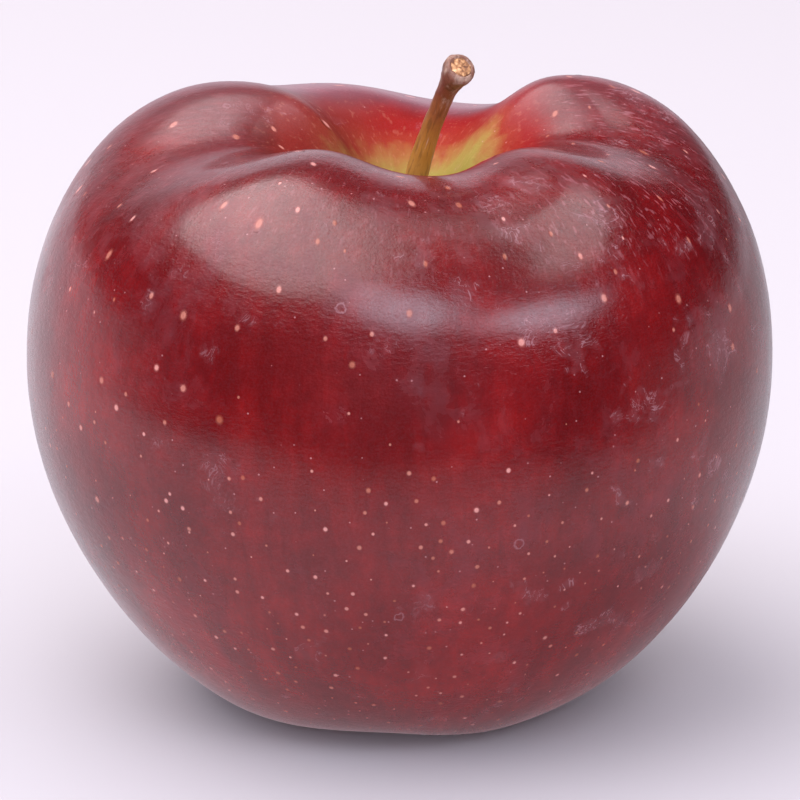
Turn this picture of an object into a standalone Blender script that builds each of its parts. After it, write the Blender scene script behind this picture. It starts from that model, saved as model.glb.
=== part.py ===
"""A ripe red apple standing on its five lobes, with its stalk and the dried remains of its flower.

Units are metres, with +Z up. The origin is on the table, under the middle of the fruit's footprint.
The stalk leans towards -Y and +X, which is the side the apple is mostly looked at from.

Nodes: apple_fruit, apple_stalk, sepal_1 to sepal_5 and stamen_tuft.
"""

import math
from collections import namedtuple

import bmesh
import bpy
from mathutils import Matrix, Vector

MM = 0.001

# Body of the fruit, before its lobes are added.
GIRTH_RADIUS = 38.1 * MM  # at the widest level
GIRTH_HEIGHT = 36.6 * MM  # of the widest level above the table
CREST_RADIUS = 17.8 * MM  # of the ring of shoulders round the stalk cavity
CREST_HEIGHT = 60.2 * MM
FOOT_RADIUS = 15.0 * MM  # of the ring of feet round the eye, at the middle of its level width
FOOT_WIDTH = 1.6 * MM  # of that level stretch, from the basin's edge to where the flank starts
FOOT_ARCH = 1.8 * MM  # how far the skin arches off the table between two feet
FOOT_FLAT = 0.25 * MM  # how much of each foot is pressed flat where it rests

# Roundness of the flanks: the share of its travel that an arc's handle covers. 0.55 is an ellipse.
SHOULDER_UPRIGHT = 0.66
SHOULDER_LEVEL = 0.61
FLANK_UPRIGHT = 0.51
FLANK_LEVEL = 0.36

# Stalk cavity, on top.
CAVITY_DEPTH = 10.9 * MM  # below CREST_HEIGHT
CAVITY_LIP = 0.42  # share of the way in that the rim stays level, between the lobes
THROAT_RUN = 2.8 * MM  # the last steep stretch down to the stalk
THROAT_DROP = 4.7 * MM
SOCKET_DEPTH = 4.5 * MM  # how far the stalk goes into the flesh

# Eye basin, underneath, with the short tube that held the flower.
BASIN_DEPTH = 8.5 * MM
BASIN_LIP = 0.45
BASIN_FLOOR = 0.35  # share of the way out that the basin's floor stays level
EYE_RADIUS = 2.4 * MM
EYE_DEPTH = 3.6 * MM

# A lobe is one of the five swellings that run from a foot to a shoulder. Angles are in degrees, anticlockwise
# from +X as seen from above. The rise, lip and girth are what the lobe adds to the shoulder's height, to
# CAVITY_LIP and to the flank.
Lobe = namedtuple("Lobe", "shoulder_at rise spread crest_shift lip foot_at girth")
LOBES = (
    Lobe(22, 6.3 * MM, 20, 0.3 * MM, 0.00, 356, 1.5 * MM),
    Lobe(109, 2.8 * MM, 19, 0.0 * MM, 0.00, 62, 0.5 * MM),
    Lobe(159, 5.4 * MM, 21, 0.9 * MM, 0.35, 157, 1.3 * MM),
    Lobe(240, 2.8 * MM, 18, 0.0 * MM, 0.05, 225, 1.6 * MM),
    Lobe(318, 2.2 * MM, 15, 0.0 * MM, 0.00, 296, 0.0 * MM),
)
FOOT_SPREAD = 24  # degrees
FLANK_SPREAD = 46

# Stalk. Its path is counted from the middle of the cavity's floor.
CLEARANCE = 0.3 * MM  # between any two pieces that touch
STALK_ROOT_RADIUS = 1.6 * MM
STALK_WAIST_RADIUS = 1.1 * MM
STALK_KNOB_RADIUS = 2.0 * MM
STALK_SCAR_RADIUS = 1.4 * MM
STALK_TIP = Vector((5.9, -8.2, 20.6)) * MM
STALK_RISE = Vector((1.1, -0.5, 7.8)) * MM  # handle that sets how it leaves the cavity
STALK_NOD = Vector((2.4, -5.2, 4.9)) * MM  # handle that sets where its end looks
WAIST_AT = 0.65  # share of the way up
KNOB_LENGTH = 4.0 * MM
SCAR_HEIGHT = 0.6 * MM  # beyond the knob's widest part

# Dried sepals and stamens.
SEPAL_COUNT = 5
SEPAL_LENGTH = 5.6 * MM
SEPAL_GAP = 0.8 * MM  # between the roots of two neighbours
SEPAL_TIP_WIDTH = 0.5 * MM
SEPAL_THICKNESS = 0.45 * MM
SEPAL_LEAN = 12  # degrees outwards at the base
SEPAL_CURL = 55  # degrees more by the tip
TUFT_LENGTH = 6.4 * MM
TUFT_GAP = 0.7 * MM  # air between the tuft and the tube that it hangs in
TUFT_TAPER = 0.6  # its end's radius as a share of its root's

# Fineness of the meshes.
MERIDIANS = 84
BASIN_STEPS = 7
FLANK_STEPS = 10
SHOULDER_STEPS = 11
CAVITY_STEPS = 9
STALK_STEPS = 14


def swelling(angle, centre, spread):
    """1 at the centre of a lobe, fading smoothly to nothing beside it. All three are in degrees."""
    fall = math.cos(math.radians(angle - centre)) - 1
    return math.exp(fall / math.radians(spread) ** 2)


def halfway(start, end):
    """The angle midway between two others, the short way round, in degrees."""
    return start + ((end - start + 180) % 360 - 180) / 2


def arc(start, start_handle, end_handle, end, steps):
    """Points along one Bezier arc of (radius, height), leaving out its first."""
    points = []
    for step in range(1, steps + 1):
        t = step / steps
        weights = ((1 - t) ** 3, 3 * t * (1 - t) ** 2, 3 * t * t * (1 - t), t**3)
        handles = (start, start_handle, end_handle, end)
        points.append(tuple(sum(w * p[k] for w, p in zip(weights, handles)) for k in (0, 1)))
    return points


def cavity_floor_height():
    return CREST_HEIGHT - CAVITY_DEPTH


def socket_radius():
    return STALK_ROOT_RADIUS + CLEARANCE


def meridian(angle):
    """The fruit's outline at one angle, as (radius, height), from the eye's tube up to the stalk's socket."""
    rise = sum(lobe.rise * swelling(angle, lobe.shoulder_at, lobe.spread) for lobe in LOBES)
    shift = sum(lobe.crest_shift * swelling(angle, lobe.shoulder_at, lobe.spread) for lobe in LOBES)
    lip = sum(lobe.lip * swelling(angle, lobe.shoulder_at, lobe.spread) for lobe in LOBES)
    footing = sum(swelling(angle, lobe.foot_at, FOOT_SPREAD) for lobe in LOBES)
    girth_gain = sum(
        lobe.girth * swelling(angle, halfway(lobe.shoulder_at, lobe.foot_at), FLANK_SPREAD)
        for lobe in LOBES
    )
    crest = (CREST_RADIUS + shift, CREST_HEIGHT + rise)
    girth = (GIRTH_RADIUS + girth_gain, GIRTH_HEIGHT)
    foot_height = FOOT_ARCH * (1 - footing) - FOOT_FLAT
    inner_foot = (FOOT_RADIUS - FOOT_WIDTH / 2, foot_height)
    outer_foot = (FOOT_RADIUS + FOOT_WIDTH / 2, foot_height)
    eye = (EYE_RADIUS, BASIN_DEPTH)
    throat = (socket_radius(), cavity_floor_height())

    points = [(0.0, BASIN_DEPTH + EYE_DEPTH), (EYE_RADIUS, BASIN_DEPTH + EYE_DEPTH), eye]
    basin_width = inner_foot[0] - eye[0]
    points += arc(
        eye,
        (eye[0] + BASIN_FLOOR * basin_width, eye[1]),
        (inner_foot[0] - BASIN_LIP * basin_width, inner_foot[1]),
        inner_foot,
        BASIN_STEPS,
    )
    points.append(outer_foot)
    points += arc(
        outer_foot,
        (outer_foot[0] + FLANK_LEVEL * (girth[0] - outer_foot[0]), outer_foot[1]),
        (girth[0], girth[1] - FLANK_UPRIGHT * (girth[1] - outer_foot[1])),
        girth,
        FLANK_STEPS,
    )
    points += arc(
        girth,
        (girth[0], girth[1] + SHOULDER_UPRIGHT * (crest[1] - girth[1])),
        (crest[0] + SHOULDER_LEVEL * (girth[0] - crest[0]), crest[1]),
        crest,
        SHOULDER_STEPS,
    )
    points += arc(
        crest,
        (crest[0] - (CAVITY_LIP + lip) * (crest[0] - throat[0]), crest[1]),
        (throat[0] + THROAT_RUN, throat[1] + THROAT_DROP),
        throat,
        CAVITY_STEPS,
    )
    socket_floor = cavity_floor_height() - SOCKET_DEPTH
    points += [(socket_radius(), socket_floor), (0.0, socket_floor)]
    # The table presses the feet flat.
    return [(radius, max(height, 0.0)) for radius, height in points]


def material(name, colour, roughness):
    made = bpy.data.materials.new(name)
    made.use_nodes = True
    shader = made.node_tree.nodes["Principled BSDF"]
    shader.inputs["Base Color"].default_value = (*colour, 1.0)
    shader.inputs["Roughness"].default_value = roughness
    shader.inputs["Metallic"].default_value = 0.0
    return made


def add_piece(name, mesh, finish, parent, collection):
    piece = bpy.data.objects.new(name, mesh)
    mesh.materials.append(finish)
    piece.parent = parent
    collection.objects.link(piece)
    return piece


def fruit_mesh():
    """A sphere's grid of rings and meridians, each vertex moved on to the apple's own outline."""
    outlines = [meridian(360 * i / MERIDIANS) for i in range(MERIDIANS)]
    rings = len(outlines[0]) - 1
    body = bmesh.new()
    bmesh.ops.create_uvsphere(body, u_segments=MERIDIANS, v_segments=rings, radius=1.0)
    for vertex in body.verts:
        turn = math.atan2(vertex.co.y, vertex.co.x)
        level = 0.5 + math.asin(max(-1.0, min(1.0, vertex.co.z))) / math.pi
        outline = outlines[round(turn / math.tau * MERIDIANS) % MERIDIANS]
        radius, height = outline[round(level * rings)]
        vertex.co = (radius * math.cos(turn), radius * math.sin(turn), height)
    bmesh.ops.recalc_face_normals(body, faces=body.faces)
    mesh = bpy.data.meshes.new("apple_fruit")
    body.to_mesh(mesh)
    body.free()
    mesh.shade_smooth()
    mesh.set_sharp_from_angle(angle=math.radians(50))
    return mesh


def middle_of_footprint(mesh):
    """Centre of the fruit's outline as seen from above, in the mesh's own coordinates."""
    low = [min(v.co[k] for v in mesh.vertices) for k in (0, 1)]
    high = [max(v.co[k] for v in mesh.vertices) for k in (0, 1)]
    return Vector(((low[0] + high[0]) / 2, (low[1] + high[1]) / 2, 0.0))


def stalk_path():
    """(point, radius) along the stalk, from the bottom of its socket to the scar at its end."""
    floor = Vector((0, 0, cavity_floor_height()))
    root = floor - Vector((0, 0, SOCKET_DEPTH - CLEARANCE))
    tip = floor + STALK_TIP
    handles = (floor, floor + STALK_RISE, tip - STALK_NOD, tip)
    length = (tip - floor).length
    path = [(root, STALK_ROOT_RADIUS)]
    for step in range(STALK_STEPS + 1):
        t = step / STALK_STEPS
        weights = ((1 - t) ** 3, 3 * t * (1 - t) ** 2, 3 * t * t * (1 - t), t**3)
        point = sum((w * h for w, h in zip(weights, handles)), Vector((0, 0, 0)))
        waist = min(1.0, t / WAIST_AT)
        radius = STALK_ROOT_RADIUS + (STALK_WAIST_RADIUS - STALK_ROOT_RADIUS) * waist
        into_knob = max(0.0, 1 - (1 - t) * length / KNOB_LENGTH)
        radius += (STALK_KNOB_RADIUS - STALK_WAIST_RADIUS) * into_knob**1.5
        path.append((point, radius))
    # Past the knob the bark rounds over to the scar.
    outward = STALK_NOD.normalized()
    half_drop = (STALK_KNOB_RADIUS + STALK_SCAR_RADIUS) / 2
    path.append((tip + outward * SCAR_HEIGHT * 0.7, half_drop))
    path.append((tip + outward * SCAR_HEIGHT, STALK_SCAR_RADIUS))
    return path


def stalk_curve():
    curve = bpy.data.curves.new("apple_stalk", "CURVE")
    curve.dimensions = "3D"
    curve.bevel_depth = 1.0
    curve.bevel_resolution = 4
    curve.use_fill_caps = True
    path = stalk_path()
    spline = curve.splines.new("POLY")
    spline.points.add(len(path) - 1)
    for place, (point, radius) in zip(spline.points, path):
        place.co = (*point, 1.0)
        place.radius = radius
    return curve


def sepal_ring():
    """Radius of the ring that the sepals' roots stand on, just outside the eye's tube."""
    return EYE_RADIUS + SEPAL_THICKNESS / 2 + CLEARANCE


def sepal_mesh():
    """One pointed sepal, its base on the X axis and hanging towards -Z, curling outwards to +Y."""
    columns, rows = 4, 7
    root_width = 2 * sepal_ring() * math.sin(math.pi / SEPAL_COUNT) - SEPAL_GAP
    leaf = bmesh.new()
    bmesh.ops.create_grid(leaf, x_segments=columns, y_segments=rows, size=1.0)
    for vertex in leaf.verts:
        across = vertex.co.x
        along = (vertex.co.y + 1) / 2
        half_width = (root_width + (SEPAL_TIP_WIDTH - root_width) * along**1.3) / 2
        lean = math.radians(SEPAL_LEAN)
        curl = math.radians(SEPAL_CURL)
        # The midrib is an arc whose slope grows steadily from the lean to lean + curl.
        out = (math.cos(lean) - math.cos(lean + curl * along)) / curl * SEPAL_LENGTH
        down = (math.sin(lean + curl * along) - math.sin(lean)) / curl * SEPAL_LENGTH
        cup = 0.18 * half_width * across * across
        vertex.co = (across * half_width, out - cup, -down)
    bmesh.ops.recalc_face_normals(leaf, faces=leaf.faces)
    mesh = bpy.data.meshes.new("sepal")
    leaf.to_mesh(mesh)
    leaf.free()
    mesh.shade_smooth()
    return mesh


def add_sepals(finish, parent, collection):
    mesh = sepal_mesh()
    mesh.materials.append(finish)
    root_height = BASIN_DEPTH - CLEARANCE - SEPAL_THICKNESS / 2
    for number in range(SEPAL_COUNT):
        turn = Matrix.Rotation(math.tau * number / SEPAL_COUNT, 4, "Z")
        sepal = bpy.data.objects.new(f"sepal_{number + 1}", mesh)
        sepal.parent = parent
        sepal.matrix_local = turn @ Matrix.Translation((0, sepal_ring(), root_height))
        skin = sepal.modifiers.new("thickness", "SOLIDIFY")
        skin.thickness = SEPAL_THICKNESS
        skin.offset = 0.0
        collection.objects.link(sepal)


def tuft_mesh():
    """The withered stamens as one plug that hangs from the roof of the eye's tube."""
    root_radius = EYE_RADIUS - TUFT_GAP
    plug = bmesh.new()
    bmesh.ops.create_cone(
        plug,
        cap_ends=True,
        segments=14,
        radius1=root_radius * TUFT_TAPER,
        radius2=root_radius,
        depth=TUFT_LENGTH,
    )
    roof = BASIN_DEPTH + EYE_DEPTH - CLEARANCE
    bmesh.ops.translate(plug, verts=plug.verts, vec=(0, 0, roof - TUFT_LENGTH / 2))
    mesh = bpy.data.meshes.new("stamen_tuft")
    plug.to_mesh(mesh)
    plug.free()
    mesh.shade_smooth()
    mesh.set_sharp_from_angle(angle=math.radians(50))
    return mesh


def main():
    for old in list(bpy.data.objects):
        bpy.data.objects.remove(old, do_unlink=True)
    collection = bpy.data.collections.new("apple")
    bpy.context.scene.collection.children.link(collection)

    skin = material("apple_skin", (0.17, 0.008, 0.012), 0.3)
    bark = material("stalk_bark", (0.16, 0.07, 0.02), 0.6)
    dry_leaf = material("dry_sepal", (0.10, 0.055, 0.025), 0.8)
    dry_thread = material("dry_stamen", (0.035, 0.02, 0.012), 0.85)

    # Everything hangs on the fruit's growing axis, which isn't quite under the middle of the fruit.
    fruit = fruit_mesh()
    axis = bpy.data.objects.new("growing_axis", None)
    axis.location = -middle_of_footprint(fruit)
    collection.objects.link(axis)

    add_piece("apple_fruit", fruit, skin, axis, collection)
    add_piece("apple_stalk", stalk_curve(), bark, axis, collection)
    add_piece("stamen_tuft", tuft_mesh(), dry_thread, axis, collection)
    add_sepals(dry_leaf, axis, collection)


main()
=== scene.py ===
# %% [markdown]
# # A red apple, finished for the camera
#
# The frame holds the plain solids of the apple: the fruit, its stalk, five sepals and a tuft of stamens.
# This script dresses them. It makes a fine skin, scatters the pale dots that every apple has, roughens the
# stalk, crumples the sepals and writes a material for each. Every size is in metres.

# %% Load the frame
import math

import bmesh
import bpy
from mathutils import Matrix, Vector


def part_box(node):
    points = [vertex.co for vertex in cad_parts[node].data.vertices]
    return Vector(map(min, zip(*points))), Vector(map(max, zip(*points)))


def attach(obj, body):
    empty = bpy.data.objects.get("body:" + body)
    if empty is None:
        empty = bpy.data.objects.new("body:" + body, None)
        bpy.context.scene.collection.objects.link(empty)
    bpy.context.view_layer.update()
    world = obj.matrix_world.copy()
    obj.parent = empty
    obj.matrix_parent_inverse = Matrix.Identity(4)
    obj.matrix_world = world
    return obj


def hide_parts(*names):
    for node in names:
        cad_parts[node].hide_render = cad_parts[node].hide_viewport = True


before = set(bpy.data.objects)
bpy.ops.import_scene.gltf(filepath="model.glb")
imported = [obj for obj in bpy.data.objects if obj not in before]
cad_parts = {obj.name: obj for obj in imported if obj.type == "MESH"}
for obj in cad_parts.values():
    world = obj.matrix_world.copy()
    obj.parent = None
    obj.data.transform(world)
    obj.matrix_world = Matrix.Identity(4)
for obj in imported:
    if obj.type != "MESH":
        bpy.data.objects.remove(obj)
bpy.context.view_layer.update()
MM = 0.001
print("nodes in the frame:", sorted(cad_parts))

# %% [markdown]
# ## Where things are
#
# Nothing here is typed in twice. The stalk and the eye stand on the growing axis, which runs a little beside
# the middle of the fruit, so the axis is read from the box of the tuft of stamens, a turned piece that
# stands right on it. The floor of the stalk cavity is found where the fruit's socket opens.

# %% Measure the fruit
def middle(node):
    """The centre of a frame node's box."""
    low, high = (Vector(corner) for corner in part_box(node))
    return (low + high) / 2


AXIS = Vector((middle("stamen_tuft").x, middle("stamen_tuft").y, 0.0))
FRUIT_LOW, FRUIT_HIGH = (Vector(corner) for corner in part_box("apple_fruit"))
FRUIT_HEIGHT = FRUIT_HIGH.z
FRUIT_RADIUS = (FRUIT_HIGH.x - FRUIT_LOW.x) / 2


def radius_from_axis(point):
    return math.hypot(point.x - AXIS.x, point.y - AXIS.y)


def cavity_floor():
    """Height of the mouth of the stalk's socket: the highest of the fruit's vertices close to the axis."""
    near_axis = 2.5 * MM
    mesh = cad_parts["apple_fruit"].data
    return max(v.co.z for v in mesh.vertices if radius_from_axis(v.co) < near_axis)


CAVITY_FLOOR = cavity_floor()
print(f"axis at {AXIS.x / MM:.2f}, {AXIS.y / MM:.2f} mm, cavity floor at {CAVITY_FLOOR / MM:.1f} mm")

# %% [markdown]
# ## Writing node trees in Python
#
# A material with streaks, dots and bloom takes a hundred nodes. Writing each as five lines of bpy would hide
# the idea, so two small classes help. A Wire is one output of a node and knows how to add, multiply and so
# on, so `1 - mask * 0.5` reads as it does in a formula and makes its own Math nodes. A Tree adds every other
# node with one method, which takes the node's type, its settings and its inputs.

# %% Wires and trees
class Wire:
    """An output socket that does sums. Each sum adds a Math node to the wire's own tree."""

    def __init__(self, tree, socket):
        self.tree = tree
        self.socket = socket

    def sum_with(self, operation, *values):
        return self.tree.node("ShaderNodeMath", {"operation": operation}, list(values))

    def __add__(self, other):
        return self.sum_with("ADD", self, other)

    def __sub__(self, other):
        return self.sum_with("SUBTRACT", self, other)

    def __rsub__(self, other):
        return self.sum_with("SUBTRACT", other, self)

    def __mul__(self, other):
        return self.sum_with("MULTIPLY", self, other)

    def __truediv__(self, other):
        return self.sum_with("DIVIDE", self, other)

    def __rtruediv__(self, other):
        return self.sum_with("DIVIDE", other, self)

    def __pow__(self, other):
        return self.sum_with("POWER", self, other)

    def __abs__(self):
        return self.sum_with("ABSOLUTE", self)

    def at_least(self, other):
        return self.sum_with("MAXIMUM", self, other)

    __radd__ = __add__


class Tree:
    """A node tree that is written as calls."""

    def __init__(self, nodes_tree):
        self.tree = nodes_tree

    def node(self, kind, settings=None, inputs=None, output=0):
        """Adds a node and returns one output. The inputs are a list, or a dict by name or number."""
        made = self.tree.nodes.new(kind)
        for name, value in (settings or {}).items():
            if name == "stops":
                self.set_stops(made.color_ramp, value)
            else:
                setattr(made, name, value)
        pairs = inputs.items() if isinstance(inputs, dict) else enumerate(inputs or [])
        for key, value in pairs:
            if isinstance(value, Wire):
                self.tree.links.new(value.socket, made.inputs[key])
            else:
                made.inputs[key].default_value = value
        return Wire(self, made.outputs[output]) if made.outputs else None

    @staticmethod
    def set_stops(ramp, stops):
        while len(ramp.elements) < len(stops):
            ramp.elements.new(1.0)
        for element, (position, colour) in zip(ramp.elements, stops):
            element.position = position
            element.color = (*colour, 1.0)

    def outputs(self, wire, *names):
        """Other outputs of the node that a wire comes from."""
        return [Wire(self, wire.socket.node.outputs[name]) for name in names]

    def vector(self, operation, *values):
        return self.node("ShaderNodeVectorMath", {"operation": operation}, list(values))

    def combine(self, x, y, z):
        return self.node("ShaderNodeCombineXYZ", None, [x, y, z])

    def scaled(self, vector, factor):
        return self.vector("MULTIPLY", vector, self.combine(factor, factor, factor))

    def split(self, vector):
        x = self.node("ShaderNodeSeparateXYZ", None, [vector])
        return [x, *self.outputs(x, "Y", "Z")]

    def fade(self, value, start, end, low=0.0, high=1.0):
        """Goes smoothly from low at start to high at end."""
        settings = {"interpolation_type": "SMOOTHSTEP", "clamp": True}
        return self.node("ShaderNodeMapRange", settings, [value, start, end, low, high])

    def object_place(self):
        return self.node("ShaderNodeTexCoord", output="Object")

    def noise(self, place, size, detail=2.0, roughness=0.5, distortion=0.0):
        """Smooth noise from 0 to 1 whose blotches are about `size` across."""
        inputs = {
            "Vector": place,
            "Scale": 1 / size,
            "Detail": detail,
            "Roughness": roughness,
            "Distortion": distortion,
        }
        return self.node("ShaderNodeTexNoise", None, inputs)

    def jitter(self, place, size):
        """Noise in three directions at once, each from -0.5 to 0.5."""
        noise = self.node("ShaderNodeTexNoise", None, {"Vector": place, "Scale": 1 / size}, output="Color")
        return self.vector("SUBTRACT", noise, (0.5, 0.5, 0.5))

    def mix(self, share, first, second):
        """A colour between two others."""
        return self.node("ShaderNodeMix", {"data_type": "RGBA"}, {0: share, 6: first, 7: second}, output=2)

    def bump(self, relief):
        """A normal that follows a relief in metres."""
        return self.node("ShaderNodeBump", None, {"Strength": 1.0, "Distance": 1.0, "Height": relief})


def srgb(red, green, blue):
    """A colour as people read it off a screen, 0 to 255, turned into the linear values that nodes use."""
    values = (channel / 255 for channel in (red, green, blue))
    linear = (v / 12.92 if v <= 0.04045 else ((v + 0.055) / 1.055) ** 2.4 for v in values)
    return (*linear, 1.0)


def new_material(name):
    """A new material and its node tree, which is still empty."""
    material = bpy.data.materials.new(name)
    material.use_nodes = True
    material.node_tree.nodes.clear()
    return material, Tree(material.node_tree)


def finish_material(tree, shader):
    tree.node("ShaderNodeOutputMaterial", None, {"Surface": shader})


print("helpers are ready")

# %% [markdown]
# ## The camera
#
# A long lens from not very far away, looking down a little, is how small things are shot for a catalogue.
# The camera circles a point inside the fruit, slightly below its middle.

# %% Camera
VIEW_ELEVATION = math.radians(15.45)
VIEW_DISTANCE = 0.423
VIEW_CENTRE = Vector((0.0, 0.0, 0.03226))
LENS_MM = 177
SENSOR_MM = 36


def make_camera():
    data = bpy.data.cameras.new("camera")
    data.lens = LENS_MM
    data.sensor_width = SENSOR_MM
    data.clip_start = 0.01
    data.clip_end = 20.0
    camera = bpy.data.objects.new("camera", data)
    bpy.context.scene.collection.objects.link(camera)
    back = Vector((0.0, -math.cos(VIEW_ELEVATION), math.sin(VIEW_ELEVATION)))
    camera.location = VIEW_CENTRE + back * VIEW_DISTANCE
    camera.rotation_euler = (math.pi / 2 - VIEW_ELEVATION, 0.0, 0.0)
    bpy.context.scene.camera = camera


make_camera()
bpy.context.scene.view_settings.view_transform = "Standard"
print(f"camera with a {LENS_MM} mm lens, {VIEW_DISTANCE} m from the fruit")

# %% [markdown]
# ## The table
#
# Gloss only shows what there is to reflect. A waxy apple on a white table reflects four things: the lights,
# the white backdrop behind it, the table, and the dark room behind the camera. The dark room matters as much
# as the lights, because it is where the skin shows its own deep red.
#
# The floor that the camera sees is large, so that it has no edge in any view. The skin reflects a smaller
# one, a sheet that glows with painted light in place of the table lit round the apple, with a painted shadow
# and painted red bounce light at the apple's feet, and that falls dark a hand's width in front of it. Cycles
# keeps the two apart with its ray visibility switches, and a see-through shader fades the smaller one out
# towards its edge.

# %% Floor
FLOOR_SIZE = 12.0
FLOOR_COLOUR = srgb(181, 178, 181)
PAPER_SIZE = 3.0
PAPER_LIFT = 0.02 * MM  # keeps it out of the floor's own shadow
PAPER_COLOUR = srgb(236, 228, 240)
# Painted red bounce light from the apple, on the paper close to it.
RED_BOUNCE_PAPER = srgb(238, 204, 217)  # close to the apple, which throws its own red on the paper
LIT_FRONT = -0.125  # where the lit part of the table ends, in front of the apple
LIT_CORNER = 0.075  # half the width of that front edge, which falls back on both sides
LIT_SHIFT = -0.03  # its middle, a little to the left of the apple
LIT_SLOPE = 0.8
LIT_SOFTNESS = 0.05
LIT_LEVEL = 1.08
LEFT_LOSS = 0.26  # how much less light the table gets from its left to its middle
RIGHT_LOSS = 0.30  # and from its middle to its right
SHADE_SHIFT = 0.018
SHADE_INNER = 0.020
SHADE_OUTER = 0.065
SHADE_DEPTH = 0.5


def make_sheet(name, size, height):
    """A square on the ground, centred under the apple."""
    half = size / 2
    sheet = bmesh.new()
    corners = [(-half, -half), (half, -half), (half, half), (-half, half)]
    sheet.faces.new([sheet.verts.new((x, y, height)) for x, y in corners])
    mesh = bpy.data.meshes.new(name)
    sheet.to_mesh(mesh)
    sheet.free()
    made = bpy.data.objects.new(name, mesh)
    bpy.context.scene.collection.objects.link(made)
    return made


def floor_material():
    material, tree = new_material("floor_paper")
    paper = tree.node("ShaderNodeBsdfDiffuse", None, {"Color": FLOOR_COLOUR})
    finish_material(tree, paper)
    return material


def reflected_material():
    """Paper that glows with painted light as the lit table does, and fades out in front of the apple."""
    material, tree = new_material("reflected_paper")
    x, y, _ = tree.split(tree.node("ShaderNodeTexCoord", output="Object"))
    front = (abs(x - LIT_SHIFT) - LIT_CORNER).at_least(0.0) * LIT_SLOPE + LIT_FRONT
    lit = tree.fade(y - front, -LIT_SOFTNESS, LIT_SOFTNESS)
    level = LIT_LEVEL - tree.fade(x, -0.14, 0.0) * LEFT_LOSS - tree.fade(x, 0.02, 0.25) * RIGHT_LOSS
    # A painted shadow of the apple darkens the table close to its feet and falls a little to the right.
    # Painted red bounce light from the apple tints the paper there.
    across = x - SHADE_SHIFT
    away = tree.fade((across * across + y * y) ** 0.5, SHADE_INNER, SHADE_OUTER)
    strength = level * (1 - SHADE_DEPTH + away * SHADE_DEPTH)
    colour = tree.mix(away, RED_BOUNCE_PAPER, PAPER_COLOUR)
    glow = tree.node("ShaderNodeEmission", None, {"Color": colour, "Strength": strength})
    clear = tree.node("ShaderNodeBsdfTransparent")
    finish_material(tree, tree.node("ShaderNodeMixShader", None, [lit, clear, glow]))
    return material


def make_floor():
    floor = make_sheet("floor", FLOOR_SIZE, 0.0)
    floor.data.materials.append(floor_material())
    floor.visible_glossy = False
    reflected = make_sheet("reflected_paper", PAPER_SIZE, PAPER_LIFT)
    reflected.data.materials.append(reflected_material())
    reflected.visible_camera = False
    reflected.visible_diffuse = False
    reflected.visible_shadow = False


make_floor()
print("floor and the paper that the skin reflects")

# %% [markdown]
# ## The lights
#
# Two wide softboxes lie overhead and make the broad patches on the shoulders. Two smaller lamps in front
# make the cool, soft highlights below those patches. Two fills lift the deep reds of the front and of the
# left side, and a ray visibility switch keeps them out of the gloss. A real softbox is bright in the middle
# and dim towards its cloth edge, and that soft edge is what makes a highlight look wet rather than stuck on.
# A light's own node tree gives it that: Geometry's Parametric output runs from 0 to 1 across the light, so a
# rounded fall-off can be written on it.

# %% Softboxes
def direction(azimuth, elevation):
    """A unit vector. Azimuth 0 looks from the apple to the camera, and 90 to +X. Both are in degrees."""
    turn = math.radians(azimuth)
    rise = math.radians(elevation)
    return Vector((math.sin(turn) * math.cos(rise), -math.cos(turn) * math.cos(rise), math.sin(rise)))


def soften_edges(data, softness, squareness, glow):
    """Lets a light fade towards its rim. Squareness 2 is an ellipse, and more is nearer to a rectangle.

    The softness is the share of the light that fades, and the glow is how much brighter its middle is.
    """
    data.use_nodes = True
    data.node_tree.nodes.clear()
    tree = Tree(data.node_tree)
    across, along, _ = tree.split(tree.node("ShaderNodeNewGeometry", output="Parametric"))
    from_middle = (abs(across * 2 - 1) ** squareness + abs(along * 2 - 1) ** squareness) ** (1 / squareness)
    level = tree.fade(from_middle, 1.0, 1.0 - softness) * (1 + tree.fade(from_middle, 0.8, 0.0) * glow)
    light = tree.node("ShaderNodeEmission", None, {"Strength": level})
    tree.node("ShaderNodeOutputLight", None, {"Surface": light})


def make_light(name, size, radiance, colour, softness, squareness, glow=0.0):
    """A rectangular area light, as bright per square metre as the radiance says."""
    data = bpy.data.lights.new(name, "AREA")
    data.shape = "RECTANGLE"
    data.size, data.size_y = size
    data.energy = radiance * math.pi * size[0] * size[1]
    data.color = colour[:3]
    soften_edges(data, softness, squareness, glow)
    light = bpy.data.objects.new(name, data)
    bpy.context.scene.collection.objects.link(light)
    return light


def hang_box(name, centre, size, turn, radiance, **edge):
    """A light level overhead. Its centre and size are shares of its height above the apple."""
    light = make_light(name, [side * CEILING for side in size], radiance, BOX_COLOUR, **edge)
    light.location = (centre[0] * CEILING, centre[1] * CEILING, CEILING)
    light.rotation_euler = (0.0, 0.0, math.radians(turn))


def stand_lamp(name, azimuth, elevation, size, tilt, radiance, **edge):
    """A light round the apple that faces it, turned about its own axis by the tilt."""
    light = make_light(name, size, radiance, LAMP_COLOUR, **edge)
    light.location = VIEW_CENTRE + direction(azimuth, elevation) * LAMP_DISTANCE
    facing = (VIEW_CENTRE - light.location).to_track_quat("-Z", "Y").to_matrix()
    light.rotation_euler = (facing @ Matrix.Rotation(math.radians(tilt), 3, "Z")).to_euler()
    return light


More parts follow.
